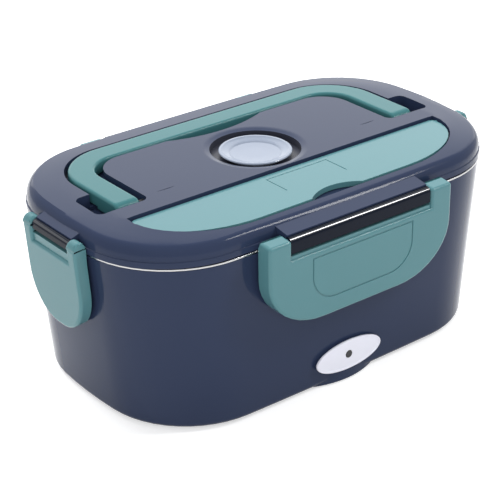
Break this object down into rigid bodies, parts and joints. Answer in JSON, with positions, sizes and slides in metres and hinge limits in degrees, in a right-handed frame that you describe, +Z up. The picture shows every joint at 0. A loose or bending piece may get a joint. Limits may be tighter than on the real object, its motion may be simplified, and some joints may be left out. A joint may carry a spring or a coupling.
{
  "type": "electric lunch box",
  "caption": "Heated lunch box: tapered tub with a steel container and tray, lift-off lid with side latches, folding carry handle, steam vent plug and covered cutlery compartment.",
  "frame": {"origin": "under the middle of the box, at the height of the surface it stands on", "axes": "+X along the long side towards the right-hand latch, -Y towards the front with the badge, +Z up"},
  "size_m": [0.252, 0.1592, 0.104],
  "materials": {
    "navy_gloss": "glossy dark blue-grey plastic",
    "teal_gloss": "glossy muted teal plastic",
    "pale_plastic": "glossy pale grey-white plastic",
    "inner_plastic": "satin dark plastic",
    "tray_plastic": "satin light plastic",
    "stainless": "satin stainless steel",
    "screw_steel": "zinc plated steel",
    "plate_aluminium": "cast and machined",
    "heater_insulation": "polyimide wrapped element",
    "black_plastic": "satin black plastic",
    "foot_rubber": "matte rubber",
    "seal_silicone": "soft silicone",
    "board_green": "circuit board",
    "wire_red": "wire insulation"
  },
  "bodies": {
    "base": {"outer_shell": "navy_gloss", "bottom_cover": "inner_plastic", "bottom_screws": "screw_steel", "feet": "foot_rubber", "inner_liner": "inner_plastic", "heater_plate": "plate_aluminium", "ptc_heater": "heater_insulation", "heater_clamp": "screw_steel", "plate_screws": "screw_steel", "thermostat": "black_plastic", "thermal_fuse": "pale_plastic", "power_inlet": "black_plastic", "inlet_pins": "screw_steel", "badge_plate": "pale_plastic", "indicator_lens": "black_plastic", "indicator_board": "board_green", "wiring": "wire_red"},
    "container": {"steel_container": "stainless"},
    "tray": {"inner_tray": "tray_plastic"},
    "lid": {"lid_shell": "navy_gloss", "lid_inner": "inner_plastic", "lid_seal": "seal_silicone", "handle_pins": "black_plastic"},
    "vent_plug": {"vent_plug": "pale_plastic"},
    "carry_handle": {"carry_handle": "teal_gloss"},
    "cutlery_cover": {"cutlery_cover": "teal_gloss"},
    "front_latch": {"front_latch": "teal_gloss"},
    "back_latch": {"back_latch": "teal_gloss"},
    "left_latch": {"left_latch": "teal_gloss"},
    "right_latch": {"right_latch": "teal_gloss"}
  },
  "joints": [
    {"name": "lid_lift", "type": "slide", "parent": "base", "child": "lid", "axis": [0, 0, 1], "range_m": [0, 0.15]},
    {"name": "container_lift", "type": "slide", "parent": "base", "child": "container", "axis": [0, 0, 1], "range_m": [0, 0.075]},
    {"name": "tray_lift", "type": "slide", "parent": "base", "child": "tray", "axis": [0, 0, 1], "range_m": [0, 0.12]},
    {"name": "front_latch_open", "type": "hinge", "parent": "lid", "child": "front_latch", "pos_m": [0, -0.0756, 0.0935], "axis": [-1, 0, 0], "range_deg": [0, 115]},
    {"name": "back_latch_open", "type": "hinge", "parent": "lid", "child": "back_latch", "pos_m": [0, 0.0756, 0.0935], "axis": [1, 0, 0], "range_deg": [0, 115]},
    {"name": "left_latch_open", "type": "hinge", "parent": "lid", "child": "left_latch", "pos_m": [-0.1226, 0, 0.0942], "axis": [0, 1, 0], "range_deg": [0, 115]},
    {"name": "right_latch_open", "type": "hinge", "parent": "lid", "child": "right_latch", "pos_m": [0.1226, 0, 0.0942], "axis": [0, -1, 0], "range_deg": [0, 115]},
    {"name": "handle_swing", "type": "hinge", "parent": "lid", "child": "carry_handle", "pos_m": [0, -0.008, 0.0997], "axis": [1, 0, 0], "range_deg": [0, 92]},
    {"name": "cover_open", "type": "hinge", "parent": "lid", "child": "cutlery_cover", "pos_m": [0, -0.0272, 0.1003], "axis": [-1, 0, 0], "range_deg": [0, 100]},
    {"name": "vent_lift", "type": "slide", "parent": "lid", "child": "vent_plug", "axis": [0, 0, 1], "range_m": [0, 0.006]}
  ],
  "couplings": [
    {"joint": "container_lift", "follows": "lid_lift", "ratio": 0.5},
    {"joint": "tray_lift", "follows": "lid_lift", "ratio": 0.8},
    {"joint": "front_latch_open", "follows": "lid_lift", "rad_per_m": 13.381},
    {"joint": "back_latch_open", "follows": "lid_lift", "rad_per_m": 13.381},
    {"joint": "left_latch_open", "follows": "lid_lift", "rad_per_m": 13.381},
    {"joint": "right_latch_open", "follows": "lid_lift", "rad_per_m": 13.381}
  ]
}
